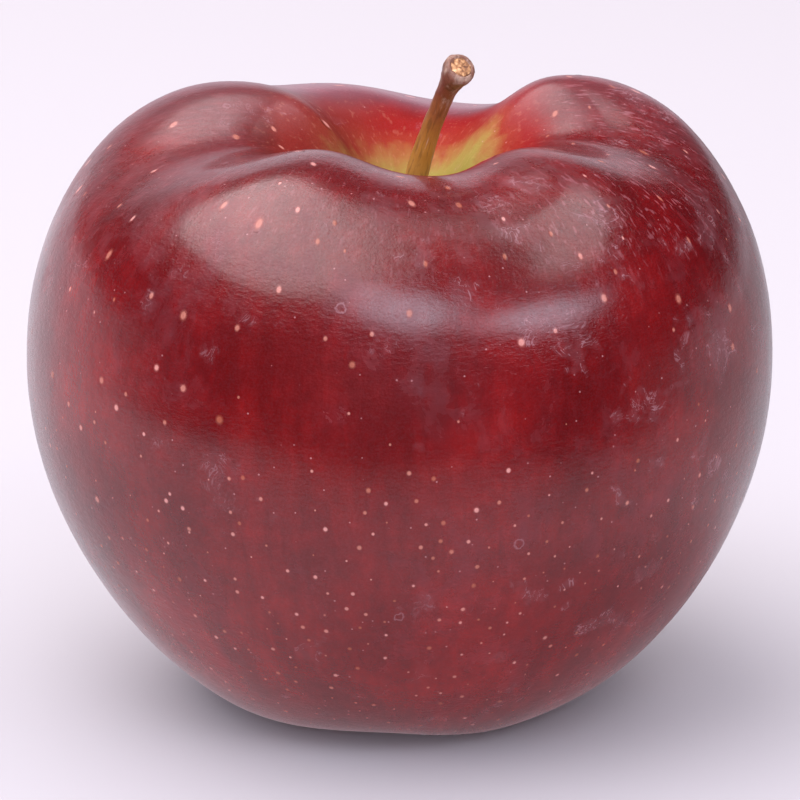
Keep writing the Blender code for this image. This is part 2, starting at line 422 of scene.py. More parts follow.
CEILING = 1.5
LAMP_DISTANCE = 1.2
BOX_COLOUR = srgb(255, 249, 252)
LAMP_COLOUR = srgb(232, 236, 255)
hang_box("softbox_left", (-0.50, 0.06), (1.43, 2.16), 0, 2.75, softness=0.32, squareness=2.8, glow=0.3)
hang_box("softbox_right", (0.50, 0.18), (1.45, 0.54), -60, 2.5, softness=0.55, squareness=4)
stand_lamp("front_lamp", 8, 46, (0.84, 0.72), 0, 5.2, softness=0.85, squareness=2)
stand_lamp("side_lamp", 49, 35, (1.16, 0.46), -8, 4.9, softness=0.85, squareness=2)
front_fill = stand_lamp("front_fill", 0, 10, (1.2, 0.7), 0, 5.7, softness=0.3, squareness=4)
left_fill = stand_lamp("left_fill", -58, 36, (1.2, 0.8), 0, 2.2, softness=0.3, squareness=4)
for fill in (front_fill, left_fill):
    fill.visible_glossy = False
print("two softboxes, two lamps, and two fills that the gloss doesn't show")

# %% [markdown]
# ## The room
#
# The world does three different jobs, and a Light Path node tells them apart. To the camera it is pale
# paper. To matt surfaces it is a soft even light that fills the shadows. To a glossy surface it is a dim
# room with a sweep of white paper standing behind the apple, wide along the table and narrow higher up. The
# sweep is drawn by slopes: a direction's sideways and upward parts, each divided by how far it looks to the
# back.

# %% World
ROOM_COLOUR = srgb(32, 26, 30)
SWEEP_COLOUR = srgb(232, 221, 234)
FILL_COLOUR = tuple(channel * 0.92 for channel in srgb(240, 232, 242)[:3])
BACKDROP_COLOUR = srgb(244, 237, 245)


def make_world():
    world = bpy.data.worlds.new("room")
    world.use_nodes = True
    world.node_tree.nodes.clear()
    bpy.context.scene.world = world
    tree = Tree(world.node_tree)
    x, y, z = tree.split(tree.node("ShaderNodeTexCoord", output="Generated"))
    depth = y.at_least(0.05)
    side = x / depth
    height = z / depth
    upper = tree.fade(side, 0.50, 0.18) * tree.fade(side, -0.95, -0.20) * tree.fade(height, 0.63, 0.46)
    upper = upper * tree.fade(y, 0.0, 0.2)
    # On the right the sweep is lower and gets less light.
    right = tree.fade(x, 0.0, 0.6)
    lower = tree.fade(y, -0.45, 0.45) * tree.fade(z + right * 0.14, 0.26, 0.13) * (1 - right * 0.20)
    lit = tree.fade(height, 0.22, 0.50, 1.02, 0.88)
    reflected = tree.mix(upper.at_least(lower) * lit, ROOM_COLOUR, SWEEP_COLOUR)
    camera = tree.node("ShaderNodeLightPath", output="Is Camera Ray")
    (diffuse,) = tree.outputs(camera, "Is Diffuse Ray")
    seen = tree.mix(camera, tree.mix(diffuse, reflected, (*FILL_COLOUR, 1.0)), BACKDROP_COLOUR)
    background = tree.node("ShaderNodeBackground", None, {"Color": seen, "Strength": 1.0})
    tree.node("ShaderNodeOutputWorld", None, {"Surface": background})


make_world()
print("a dim room with a white sweep behind the apple")

# %% [markdown]
# ## The fruit's fine shape
#
# The frame's fruit is a coarse grid of triangles. Its copy gets its quads back first, because subdividing
# triangles makes ripples. A Geometry Nodes tree then does the rest: it subdivides, lets the skin sink
# unevenly by a fraction of a millimetre as a grown thing's does, closes the skin round the stalk and presses
# the feet flat on the table. The unevenness only ever goes inwards, so that the fruit never outgrows its
# frame.

# %% Copy of a frame node with its quads restored
def tidy_copy(node):
    """A new mesh with the node's shape: doubled vertices merged and pairs of triangles joined."""
    body = bmesh.new()
    body.from_mesh(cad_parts[node].data)
    bmesh.ops.remove_doubles(body, verts=body.verts, dist=0.001 * MM)
    bmesh.ops.join_triangles(
        body,
        faces=body.faces,
        angle_face_threshold=math.pi,
        angle_shape_threshold=math.pi,
    )
    mesh = bpy.data.meshes.new(f"fine_{node}")
    body.to_mesh(mesh)
    triangles = sum(len(f.verts) == 3 for f in body.faces)
    print(f"{node}: {len(body.faces)} faces, of which {triangles} are still triangles")
    body.free()
    mesh.shade_smooth()
    return mesh


# %% Geometry Nodes helpers
class ShapeTree(Tree):
    """A Geometry Nodes tree with named inputs, and one geometry in and out."""

    def __init__(self, name, inputs):
        group = bpy.data.node_groups.new(name, "GeometryNodeTree")
        super().__init__(group)
        group.interface.new_socket("Geometry", in_out="INPUT", socket_type="NodeSocketGeometry")
        for title, value in inputs.items():
            kind = "NodeSocketInt" if isinstance(value, int) else "NodeSocketFloat"
            socket = group.interface.new_socket(title, in_out="INPUT", socket_type=kind)
            socket.default_value = value
        group.interface.new_socket("Geometry", in_out="OUTPUT", socket_type="NodeSocketGeometry")
        self.entrance = group.nodes.new("NodeGroupInput")
        self.group = group

    def given(self, title):
        return Wire(self, self.entrance.outputs[title])

    def subdivided(self):
        """The tree's own geometry, made smooth by as many subdivisions as its input says."""
        inputs = [self.given("Geometry"), self.given("Subdivisions")]
        return self.node("GeometryNodeSubdivisionSurface", None, inputs)

    def join(self, *geometries):
        """Several geometries as one."""
        made = self.tree.nodes.new("GeometryNodeJoinGeometry")
        for geometry in geometries:
            self.tree.links.new(geometry.socket, made.inputs[0])
        return Wire(self, made.outputs[0])

    def random(self, low, high, seed):
        settings = {"data_type": "FLOAT"}
        return self.node("FunctionNodeRandomValue", settings, {2: low, 3: high, "Seed": seed}, output=1)

    def store(self, geometry, name, value):
        """Writes a number on every point, for the material to read."""
        inputs = {"Geometry": geometry, "Name": name, "Value": value}
        return self.node("GeometryNodeStoreNamedAttribute", {"data_type": "FLOAT", "domain": "POINT"}, inputs)

    def move(self, geometry, **offset_or_position):
        inputs = {"Geometry": geometry}
        inputs.update({name.title(): value for name, value in offset_or_position.items()})
        return self.node("GeometryNodeSetPosition", None, inputs)

    def close(self, geometry, material):
        """Ends the tree with real geometry, shaded smooth and of one material."""
        real = self.node("GeometryNodeRealizeInstances", None, [geometry])
        smooth = self.node("GeometryNodeSetShadeSmooth", None, {"Geometry": real, "Shade Smooth": True})
        finished = self.node("GeometryNodeSetMaterial", None, {"Geometry": smooth, "Material": material})
        leave = self.tree.nodes.new("NodeGroupOutput")
        self.tree.links.new(finished.socket, leave.inputs["Geometry"])


def grow(name, mesh, shape):
    """Runs a shape tree on a mesh and keeps the result as a plain mesh object of the given name."""
    source = bpy.data.objects.new(name + "_source", mesh)
    bpy.context.scene.collection.objects.link(source)
    modifier = source.modifiers.new("shape", "NODES")
    modifier.node_group = shape.group
    view = bpy.context.evaluated_depsgraph_get()
    view.update()
    grown = bpy.data.meshes.new_from_object(source.evaluated_get(view))
    grown.name = name
    bpy.data.objects.remove(source, do_unlink=True)
    piece = bpy.data.objects.new(name, grown)
    bpy.context.scene.collection.objects.link(piece)
    triangles = sum(len(p.vertices) - 2 for p in grown.polygons)
    print(f"{name}: {triangles} triangles")
    return piece


def distance_from_axis(x, y):
    """As a wire: how far a point is from the axis that the apple grew round."""
    out_x = x - AXIS.x
    out_y = y - AXIS.y
    return (out_x * out_x + out_y * out_y) ** 0.5


print("shape helpers are ready")

# %% [markdown]
# ## The skin's pattern
#
# An apple's colour is laid down along its meridians, from the stalk to the eye, so the pattern needs its own
# coordinates: the direction round the axis, and the distance travelled along a meridian. Streaks are noise
# read on those two, squeezed round the apple and drawn out along the meridian. Plain noise mixes in patches,
# so that the streaks don't look combed.

# %% Skin coordinates
GIRTH_HEIGHT = 0.55 * FRUIT_HEIGHT
CAVITY_REACH = 15 * MM
CAVITY_MOUTH = 19 * MM  # nothing of the cavity shows further from the axis than this


class SkinMap:
    """Where a point of the skin is, in terms of the apple's own growth."""

    def __init__(self, tree):
        self.tree = tree
        self.place = tree.vector("SUBTRACT", tree.object_place(), tuple(AXIS))
        self.x, self.y, self.z = tree.split(self.place)
        self.radius = (self.x * self.x + self.y * self.y) ** 0.5 + 0.05 * MM
        deep = tree.fade(self.z, CAVITY_FLOOR - 4 * MM, CAVITY_FLOOR)
        self.in_cavity = deep * tree.fade(self.radius, CAVITY_MOUTH, 12 * MM)
        # The lining is the cavity's own wall, without the crest round it.
        self.lining = deep * tree.fade(self.radius, CAVITY_MOUTH, 13.5 * MM)
        self.lining = self.lining * tree.fade(self.z, 66 * MM, 60.5 * MM)
        above = tree.node("ShaderNodeMath", {"operation": "SIGN"}, [self.z - GIRTH_HEIGHT])
        self.travel = self.z - (self.radius - FRUIT_RADIUS) * above
        # Down the cavity's wall the height falls again, and that way counts as travel too.
        self.travel = self.travel - self.in_cavity * (self.z - FRUIT_HEIGHT) * 2
        self.underneath = tree.fade(self.z, 12 * MM, 3 * MM)
        self.shoulders = tree.fade(self.z, 44 * MM, 58 * MM)

    def streaks(self, degrees, length, detail=2.0, distortion=0.0):
        """Noise drawn out along the meridians: each streak is so many degrees wide and so long."""
        wide = 1 / math.radians(degrees)
        round_x = self.x / self.radius * wide
        round_y = self.y / self.radius * wide
        along = self.tree.combine(round_x, round_y, self.travel / length)
        return self.tree.noise(along, 1.0, detail=detail, distortion=distortion)


print(f"skin coordinates, with the girth at {GIRTH_HEIGHT / MM:.1f} mm")

# %% [markdown]
# ## The skin's colours
#
# The layers follow the real skin from inside out. The ground colour under the blush shows only deep in the
# stalk cavity and round the eye, where no sun came. The blush is a deep crimson with brighter mottling,
# painted a lighter red on the left as painted light. On top lies bloom, the greyish wax that an apple makes,
# which is thickened on the shoulders and the far side into a painted sheen; then the dried rings and trails
# that water leaves on it, and fine specks of dust. The pale dots are the skin's pores, or lenticels, which
# are real pieces made further on.

# %% Skin layers
def ramp(tree, value, *stops):
    """A colour that changes with a value. Each stop is a position and a colour."""
    stops = [(position, colour[:3]) for position, colour in stops]
    return tree.node("ShaderNodeValToRGB", {"stops": stops}, [value])


def blush(tree, skin):
    broad = skin.streaks(10, 26 * MM, distortion=0.6)
    fine = skin.streaks(1.5, 5 * MM, detail=3.0, distortion=0.8)
    patches = tree.noise(skin.place, 12 * MM, detail=4.0, roughness=0.6)
    mottle = tree.noise(skin.place, 2.0 * MM, detail=5.0, roughness=0.72)
    tone = broad * 0.22 + fine * 0.14 + patches * 0.42 + mottle * 0.22
    # The left side is painted a lighter red as painted light, and the skin near the eye is a lighter red.
    tone = tone + tree.fade(skin.x, -8 * MM, -30 * MM) * 0.04 + tree.fade(skin.z, 32 * MM, 6 * MM) * 0.09
    return ramp(
        tree,
        tone,
        (0.34, srgb(72, 2, 4)),
        (0.47, srgb(87, 2, 5)),
        (0.56, srgb(101, 4, 7)),
        (0.70, srgb(128, 12, 12)),
    )


def ground_colour(tree, reach):
    """Green and yellow deep in the cavity, turning to orange and red on the way out, darkened as painted
    shade.
    """
    return ramp(
        tree,
        reach / CAVITY_REACH,
        (0.25, srgb(132, 128, 48)),
        (0.46, srgb(148, 130, 62)),
        (0.56, srgb(150, 100, 52)),
        (0.66, srgb(140, 42, 24)),
        (0.80, srgb(132, 15, 11)),
    )


DROP_SPACING = 6 * MM
DROP_RADIUS = 0.55 * MM


def dried_trails(tree, skin):
    """Thin wandering lines: the rims where drops of water dried on the wax."""
    wander = tree.noise(skin.place, 4.2 * MM, detail=4.0, roughness=0.7, distortion=0.9)
    line = tree.fade(abs(wander - 0.5), 0.018, 0.002)
    where = tree.noise(skin.place, 6.5 * MM, detail=3.0, roughness=0.6)
    right = tree.fade(skin.x, -14 * MM, 26 * MM)
    here = tree.fade(where + right * 0.06, 0.61, 0.69) * (0.55 + right * 0.45)
    # A few small drops dried as wobbly rings.
    wobble = tree.scaled(tree.jitter(skin.place, DROP_RADIUS), DROP_RADIUS)
    bent = tree.vector("ADD", skin.place, wobble)
    drops = tree.node("ShaderNodeTexVoronoi", None, {"Vector": bent, "Scale": 1 / DROP_SPACING})
    (drop_colour,) = tree.outputs(drops, "Color")
    ring = tree.fade(abs(drops - DROP_RADIUS / DROP_SPACING), 0.020, 0.004)
    ring = ring * tree.fade(tree.split(drop_colour)[0], 0.88, 0.92)
    return (line * here).at_least(ring * 0.7) + here * 0.18


def bloom(tree, skin):
    """Greyish wax, worn off in places, thickened into a painted sheen on the shoulders and the far side."""
    cloud = tree.noise(skin.place, 15 * MM, detail=4.0, roughness=0.6)
    wisps = tree.noise(skin.place, 3.4 * MM, detail=4.0, roughness=0.65, distortion=0.5)
    wiped = skin.streaks(5, 14 * MM, detail=3.0, distortion=0.8)
    cover = cloud * 0.46 + wisps * 0.36 + wiped * 0.18
    back = tree.fade(skin.y, -4 * MM, 10 * MM)
    # The wax is thickened on the shoulders, and most on the far side, partly as a painted sheen.
    bloom_and_sheen_gain = skin.shoulders * (0.05 + back * 0.20)
    return tree.fade(cover + bloom_and_sheen_gain, 0.50, 0.68)


print("skin layers are ready")

# %% [markdown]
# ## The skin's shader
#
# The red light comes from the Principled shader's base, and the wax is its coat: a second, sharper
# reflection on top of a softer one. Two lobes of gloss, one tight and one wide, give a highlight a bright
# heart and a hazy rim, which one roughness can't. Bloom, trails and pores thin the coat. The bump bends only
# the softer lobe, because the coat has a normal of its own, so about half of the gloss is left to the base.
# There the fine grain breaks the highlights into sparkle, as the cells of real skin do. The wall of the
# stalk cavity hardly shines, so a plain Diffuse shader takes over most of it.

# %% Skin material
BLOOM_AND_SHEEN_COLOUR = srgb(158, 112, 128)
TRAIL_COLOUR = srgb(196, 158, 166)
PORE_COLOUR = srgb(200, 118, 84)
PALE_PORE_COLOUR = srgb(210, 146, 138)
DUST_SPACING = 1.25 * MM
LINING_MATTNESS = 0.7


def skin_material():
    material, tree = new_material("apple_skin")
    skin = SkinMap(tree)
    colour = blush(tree, skin)

    # Ground colour in the cavity, with tongues of red running down into it.
    tongues = skin.streaks(14, 9 * MM, detail=4.0, distortion=0.5)
    stains = tree.noise(skin.place, 5 * MM, detail=4.0, roughness=0.6)
    reach = skin.radius + (tongues - 0.5) * (3.2 * MM) + (stains - 0.5) * (3.5 * MM)
    # On the left wall, which lies in shade, the red reaches further in; on the right the yellow reaches
    # further out.
    right_wall = tree.fade(skin.x, 0.0, 8 * MM)
    left_wall = tree.fade(skin.x, 0.0, -7 * MM)
    reach = reach - right_wall * (1.0 * MM) + left_wall * (1.4 * MM)
    bare = skin.in_cavity * tree.fade(reach, 17 * MM, 13 * MM)
    colour = tree.mix(bare, colour, ground_colour(tree, reach))
    # Painted shade: the cavity's left wall is painted darker.
    colour = tree.mix(skin.in_cavity * left_wall * 0.5, colour, srgb(92, 36, 26))
    flecks = tree.fade(skin.streaks(2.4, 1.4 * MM, detail=2.0), 0.58, 0.72) * skin.in_cavity
    colour = tree.mix(flecks * 0.08, colour, srgb(226, 160, 130))
    # Round the eye, underneath.
    bare = skin.underneath * tree.fade(reach, 13 * MM, 4 * MM)
    colour = tree.mix(bare * 0.85, colour, srgb(150, 104, 62))

    bloom_and_sheen = bloom(tree, skin)
    # The bloom shows most on the far side, where it is partly a painted sheen.
    thick = tree.fade(skin.y, 4 * MM, 14 * MM, 0.06, 0.40)
    colour = tree.mix(bloom_and_sheen * (1 - skin.lining) * thick, colour, BLOOM_AND_SHEEN_COLOUR)
    trails = dried_trails(tree, skin)
    colour = tree.mix(trails * 0.22, colour, TRAIL_COLOUR)

    # Dust: a speck sits in the middle of some of the cells of a Voronoi pattern.
    cells = tree.node("ShaderNodeTexVoronoi", None, {"Vector": skin.place, "Scale": 1 / DUST_SPACING})
    (cell_colour,) = tree.outputs(cells, "Color")
    chance, size, _ = tree.split(cell_colour)
    speck = tree.fade(cells, 0.10, 0.05) * tree.fade(chance, 0.52, 0.56)
    colour = tree.mix(speck * 0.35, colour, srgb(206, 150, 150))
    # Fine wrinkles that run down from the shoulders, more of them on the right.
    wrinkles = skin.streaks(0.8, 1.8 * MM, detail=1.0)
    wrinkled_zone = tree.fade(skin.z, 50 * MM, 59 * MM) * (1 - skin.in_cavity)
    wrinkled_zone = wrinkled_zone * tree.fade(skin.x, 8 * MM, 24 * MM, 0.3, 0.9)
    crease = tree.fade(wrinkles, 0.60, 0.70) * wrinkled_zone
    ridge = tree.fade(wrinkles, 0.40, 0.30) * wrinkled_zone
    # The creases are painted darker as painted shade, and the ridges lighter as a painted highlight.
    colour = tree.mix(crease * 0.40, colour, srgb(58, 10, 16))
    colour = tree.mix(ridge * 0.25, colour, srgb(190, 130, 138))

    # Pores read what their own geometry says: cork is 1 in the middle of a pore and 0 at its rim.
    cork = tree.node("ShaderNodeAttribute", {"attribute_name": "cork"}, output="Fac")
    tint = tree.node("ShaderNodeAttribute", {"attribute_name": "tint"}, output="Fac")
    pore = tree.mix(tint, PORE_COLOUR, PALE_PORE_COLOUR)
    halo = tree.fade(cork, 0.0, 0.8) * 0.14
    heart = tree.fade(cork, 0.55, 1.0) * (0.14 + tint * 0.42)
    colour = tree.mix(halo + heart, colour, pore)

    cell_grain = tree.noise(skin.place, 0.30 * MM, detail=2.0, roughness=0.6)
    sparkle = tree.fade(tree.noise(skin.place, 0.20 * MM, detail=1.0), 0.36, 0.68)
    # Crinkles that lie round the apple, seen only where they break up a highlight.
    squashed = tree.vector("MULTIPLY", skin.place, (1.0, 1.0, 2.6))
    crinkle = tree.noise(squashed, 1.1 * MM, detail=3.0, roughness=0.6)
    swell = tree.noise(skin.place, 1.4 * MM, detail=3.0)
    pits = tree.fade(cells, 0.16, 0.02) * tree.fade(size, 0.45, 0.55)
    # A faint painted sparkle: the colour is lightened a little where the finest grain is high.
    colour = tree.mix(sparkle * 0.018, colour, BLOOM_AND_SHEEN_COLOUR)
    relief = cell_grain * (0.034 * MM) + swell * (0.045 * MM) + crinkle * (0.060 * MM)
    relief = relief + trails * (0.016 * MM) - crease * (0.02 * MM) - pits * (0.012 * MM)
    bumps = tree.bump(relief)

    rough = 0.24 + bloom_and_sheen * 0.16 + trails * 0.1 + skin.lining * 0.3
    coat = (1 - bloom_and_sheen * 0.25) * (1 - skin.lining * 0.85) * (1 - trails * 0.4) * (1 - cork * 0.4)
    coat = coat * (0.44 + sparkle * 0.16 + swell * 0.12)
    inputs = {
        "Base Color": colour,
        "Roughness": rough,
        "Specular IOR Level": 0.40,
        "Coat Weight": coat,
        "Coat Roughness": 0.11,
        "Coat IOR": 1.62,
        "Normal": bumps,
    }
    waxy = tree.node("ShaderNodeBsdfPrincipled", None, inputs)
    matt = tree.node("ShaderNodeBsdfDiffuse", None, {"Color": colour, "Normal": bumps})
    finish_material(tree, tree.node("ShaderNodeMixShader", None, [skin.lining * LINING_MATTNESS, waxy, matt]))
    return material


SKIN = skin_material()
print(f"skin material with {len(SKIN.node_tree.nodes)} nodes")

# %% The fruit's shape tree
def fine_fruit_tree():
    sizes = {"Subdivisions": 2, "Unevenness": 0.22 * MM, "Blotch Size": 11 * MM, "Ripple": 0.03 * MM}
    shape = ShapeTree("fine_fruit", sizes)
    smooth = shape.subdivided()
    place = shape.node("GeometryNodeInputPosition")
    normal = shape.node("GeometryNodeInputNormal")
    scale = 1 / shape.given("Blotch Size")
    blotches = shape.node("ShaderNodeTexNoise", None, {"Vector": place, "Scale": scale, "Detail": 1.0})
    ripples = shape.noise(place, 3.2 * MM, detail=1.0)
    sink = blotches * shape.given("Unevenness") + ripples * shape.given("Ripple")
    x, y, z = shape.split(shape.vector("SUBTRACT", place, shape.scaled(normal, sink)))
    # Skin that lines the socket is drawn in until it meets the stalk.
    radius = distance_from_axis(x, y)
    in_socket = shape.fade(radius, 3.0 * MM, 1.9 * MM) * shape.fade(z, 30 * MM, 40 * MM)
    pull = 1 - in_socket * 0.25
    target_x = (x - AXIS.x) * pull + AXIS.x
    target_y = (y - AXIS.y) * pull + AXIS.y
    # The feet of the lobes stay flat on the table.
    target = shape.combine(target_x, target_y, z.at_least(0.0))
    shape.close(shape.move(smooth, position=target), SKIN)
    return shape


fruit = grow("apple_skin", tidy_copy("apple_fruit"), fine_fruit_tree())
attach(fruit, "root")
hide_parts("apple_fruit")

# %% [markdown]
# ## The pores
#
# The pale dots on an apple are lenticels, pores that have corked over. They are small and close together
# near the eye, where the skin grew least, and larger, rarer and drawn out near the stalk. Scattering points
# on the finished skin with a Poisson rule keeps any two of them apart, which is how real pores are spaced.
# Each point carries one tiny dome of forty triangles, so the thousand or so of them stay light. The dome's
# rim is sunk in the skin and takes the skin's own colour, so no edge shows.

# %% Pores
PORE_HEIGHT = 0.020 * MM
PORE_SUNK = 0.4  # share of the height that lies below the skin
PORE_SIDES = 10
PORE_TOP = 0.36  # radius of the dome's level top, as a share of its rim's
PORE_RIM = 2.3  # radius of the rim, as a share of the visible dot's


def pores_on(shape, spacing, density, core, stretch, where, seed):
    """Instances of the dome on the skin. The core is the visible dot's radius, inside the dome's rim."""
    scatter = {
        "Mesh": shape.given("Geometry"),
        "Distance Min": spacing,
        "Density Max": density,
        "Density Factor": where,
        "Seed": seed,
    }
    points = shape.node("GeometryNodeDistributePointsOnFaces", {"distribute_method": "POISSON"}, scatter)
    (normal,) = shape.outputs(points, "Normal")
    points = shape.store(points, "tint", shape.random(0.0, 1.0, seed + 1))
    dome = {"Vertices": PORE_SIDES, "Radius Top": PORE_TOP, "Radius Bottom": 1.0, "Depth": 1.0}
    cone = shape.node("GeometryNodeMeshCone", {"fill_type": "TRIANGLE_FAN"}, dome)
    _, _, height = shape.split(shape.node("GeometryNodeInputPosition"))
    cone = shape.store(cone, "cork", shape.fade(height, 0.1, 0.9))
    # A sharp rim keeps the hidden underside from bending the light on the dome.
    rim = {"Geometry": cone, "Selection": 0.1 - height, "Shade Smooth": False}
    cone = shape.node("GeometryNodeSetShadeSmooth", {"domain": "EDGE"}, rim)
    cone = shape.node("GeometryNodeTransform", None, {"Geometry": cone, "Translation": (0, 0, -PORE_SUNK)})
    axes = {"primary_axis": "Z", "secondary_axis": "Y"}
    growth = shape.node("FunctionNodeAxesToRotation", axes, [normal, (0.0, 0.0, 1.0)])
    wide = shape.random(0.5, 1.5, seed + 2) * core * PORE_RIM
    size = shape.combine(wide, wide * stretch, PORE_HEIGHT)
    placed = {"Points": points, "Instance": cone, "Rotation": growth, "Scale": size}
    return shape.node("GeometryNodeInstanceOnPoints", None, placed)


def pore_tree():
    sizes = {
        "Upper Spacing": 2.8 * MM,
        "Lower Spacing": 1.6 * MM,
        "Upper Density": 27000.0,
        "Lower Density": 185000.0,
        "Upper Core": 0.18 * MM,
        "Lower Core": 0.115 * MM,
        "Seed": 11,
    }
    shape = ShapeTree("pores", sizes)
    x, y, z = shape.split(shape.node("GeometryNodeInputPosition"))
    outside = shape.fade(distance_from_axis(x, y), 6 * MM, 13 * MM)
    upper = shape.fade(z, 22 * MM, 40 * MM) * outside
    lower = shape.fade(z, 44 * MM, 24 * MM) * outside
    seed = shape.given("Seed")
    stretch = shape.fade(z, 46 * MM, 60 * MM, 1.1, 1.9)
    rare = [shape.given(f"Upper {part}") for part in ("Spacing", "Density", "Core")]
    dense = [shape.given(f"Lower {part}") for part in ("Spacing", "Density", "Core")]
    large = pores_on(shape, *rare, stretch, upper, seed)
    small = pores_on(shape, *dense, stretch, lower, seed + 5)
    shape.close(shape.join(large, small), SKIN)
    return shape


pores = grow("lenticels", fruit.data.copy(), pore_tree())
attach(pores, "root")

# %% [markdown]
# ## The stalk
#
# The stalk is a twig: it grows out of the cavity green and smooth, and turns to brown bark on the way up.
# The bark is pulled tight along its length, so its relief is noise drawn out along the line from root to
# tip, with broader lumps on top. At the end is the scar where the twig broke from the tree: a rim of bark
# with a hollow in it, and in the hollow a disc of pale pith. The hollow is an inset in the frame's own flat
# end.

# %% Where the stalk ends
def stalk_end():
    """The middle of the stalk's flat end, the direction that it looks in, and its radius."""
    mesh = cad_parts["apple_stalk"].data
    top = max(mesh.vertices, key=lambda v: v.co.z).co
    sums = {}
    for face in mesh.polygons:
        if (face.center - top).length < 5 * MM:
            facing = tuple(round(part, 2) for part in face.normal)
            area, moment = sums.get(facing, (0.0, Vector((0, 0, 0))))
            sums[facing] = (area + face.area, moment + face.center * face.area)
    facing = max(sums, key=lambda key: sums[key][0])
    area, moment = sums[facing]
    return moment / area, Vector(facing).normalized(), math.sqrt(area / math.pi)


STALK_ROOT = Vector((AXIS.x, AXIS.y, CAVITY_FLOOR))
SCAR_MIDDLE, SCAR_FACING, SCAR_RADIUS = stalk_end()
STALK_LENGTH = (SCAR_MIDDLE - STALK_ROOT).length
STALK_LINE = (SCAR_MIDDLE - STALK_ROOT).normalized()
print(f"stalk {STALK_LENGTH / MM:.1f} mm long, scar of radius {SCAR_RADIUS / MM:.2f} mm")

# %% Bark material
GRAIN_STRETCH = 9


def along_stalk(tree, place):
    """How far up the stalk a point is, in metres, and the point with that distance shortened."""
    line = tuple(STALK_LINE)
    up = tree.node("ShaderNodeVectorMath", {"operation": "DOT_PRODUCT"}, [place, line], output="Value")
    return up, tree.vector("SUBTRACT", place, tree.scaled(line, up * (1 - 1 / GRAIN_STRETCH)))


def bark_material():
    material, tree = new_material("stalk_bark")
    place = tree.vector("SUBTRACT", tree.object_place(), tuple(STALK_ROOT))
    up, drawn = along_stalk(tree, place)
    fibres = tree.noise(drawn, 0.42 * MM, detail=3.0, roughness=0.6)
    blotches = tree.noise(place, 1.9 * MM, detail=3.0, roughness=0.6)
    age = up / STALK_LENGTH + (blotches - 0.5) * 0.22 + (fibres - 0.5) * 0.10
    colour = ramp(
        tree,
        age,
        (0.10, srgb(160, 142, 62)),
        (0.30, srgb(178, 132, 66)),
        (0.50, srgb(158, 108, 42)),
        (0.68, srgb(134, 78, 38)),
        (0.86, srgb(108, 54, 36)),
        (0.97, srgb(122, 80, 64)),
    )
    dark = tree.fade(fibres, 0.50, 0.36)
    colour = tree.mix(dark * 0.45, colour, srgb(62, 32, 20))
    # Grey dead bark in flakes, more of it towards the end.
    flakes = tree.noise(drawn, 0.9 * MM, detail=4.0, roughness=0.7)
    grey = tree.fade(flakes + up / STALK_LENGTH * 0.12, 0.60, 0.72)
    colour = tree.mix(grey * 0.55, colour, srgb(168, 142, 124))
    relief = fibres * (0.05 * MM) + tree.noise(place, 0.2 * MM, detail=2.0) * (0.02 * MM)
    inputs = {
        "Base Color": colour,
        "Roughness": 0.48 + grey * 0.25,
        "Coat Weight": 0.2,
        "Coat Roughness": 0.3,
        "Normal": tree.bump(relief),
    }
    finish_material(tree, tree.node("ShaderNodeBsdfPrincipled", None, inputs))
    return material


def pith_material():
    material, tree = new_material("dry_pith")
    place = tree.object_place()
    cells = tree.node("ShaderNodeTexVoronoi", None, {"Vector": place, "Scale": 1 / (0.42 * MM)})
    clots = tree.noise(place, 0.75 * MM, detail=3.0, roughness=0.6)
    # The pith is darker where its clots lie low and between its cells: painted shade in its crevices.
    tone = clots * 0.75 + (1 - cells) * 0.25
    colour = ramp(
        tree,
        tone,
        (0.38, srgb(92, 52, 30)),
        (0.50, srgb(160, 112, 72)),
        (0.60, srgb(198, 152, 108)),
        (0.72, srgb(218, 188, 146)),
    )
    inputs = {"Base Color": colour, "Roughness": 0.75, "Normal": tree.bump(clots * (0.12 * MM))}
    finish_material(tree, tree.node("ShaderNodeBsdfPrincipled", None, inputs))
    return material


BARK = bark_material()
PITH = pith_material()
print("bark and pith materials")

# %% The stalk's shape
RIM_WIDTH = 0.22 * MM
HOLLOW_DEPTH = 0.22 * MM
PITH_SUNK = 0.10 * MM  # how far the middle of the pith's disc lies below the hollow's floor


def stalk_mesh():
    """The frame's stalk with a hollow pressed into its flat end."""
    mesh = tidy_copy("apple_stalk")
    body = bmesh.new()
    body.from_mesh(mesh)
    near_end = 0.05 * MM
    cap = [
        face
        for face in body.faces
        if all(abs((v.co - SCAR_MIDDLE).dot(SCAR_FACING)) < near_end for v in face.verts)
    ]
    merged = bmesh.ops.dissolve_faces(body, faces=cap)["region"]
    bmesh.ops.inset_region(body, faces=merged, thickness=RIM_WIDTH, depth=0.0)
    bmesh.ops.inset_region(body, faces=merged, thickness=RIM_WIDTH / 2, depth=-HOLLOW_DEPTH)
    body.to_mesh(mesh)
    body.free()
    mesh.shade_smooth()
    return mesh


def bark_tree():
    sizes = {"Subdivisions": 3, "Fibre Relief": 0.10 * MM, "Lump Relief": 0.24 * MM, "Knob Relief": 0.36 * MM}
    shape = ShapeTree("bark", sizes)
    smooth = shape.subdivided()
    position = shape.node("GeometryNodeInputPosition")
    normal = shape.node("GeometryNodeInputNormal")
    place = shape.vector("SUBTRACT", position, tuple(STALK_ROOT))
    up, drawn = along_stalk(shape, place)
    fibres = 0.5 - shape.noise(drawn, 0.55 * MM, detail=2.0)
    lumps = 0.3 - shape.noise(place, 2.4 * MM, detail=1.0)
    knots = 0.4 - shape.noise(place, 1.1 * MM, detail=2.0)
    near_end = shape.fade(up, STALK_LENGTH - 6 * MM, STALK_LENGTH - 1 * MM)
    rise = fibres * shape.given("Fibre Relief") + lumps * shape.given("Lump Relief")
    rise = rise + knots * near_end * shape.given("Knob Relief")
    shape.close(shape.move(smooth, offset=shape.scaled(normal, rise)), BARK)
    return shape


stalk = grow("stalk_bark", stalk_mesh(), bark_tree())
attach(stalk, "root")
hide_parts("apple_stalk")

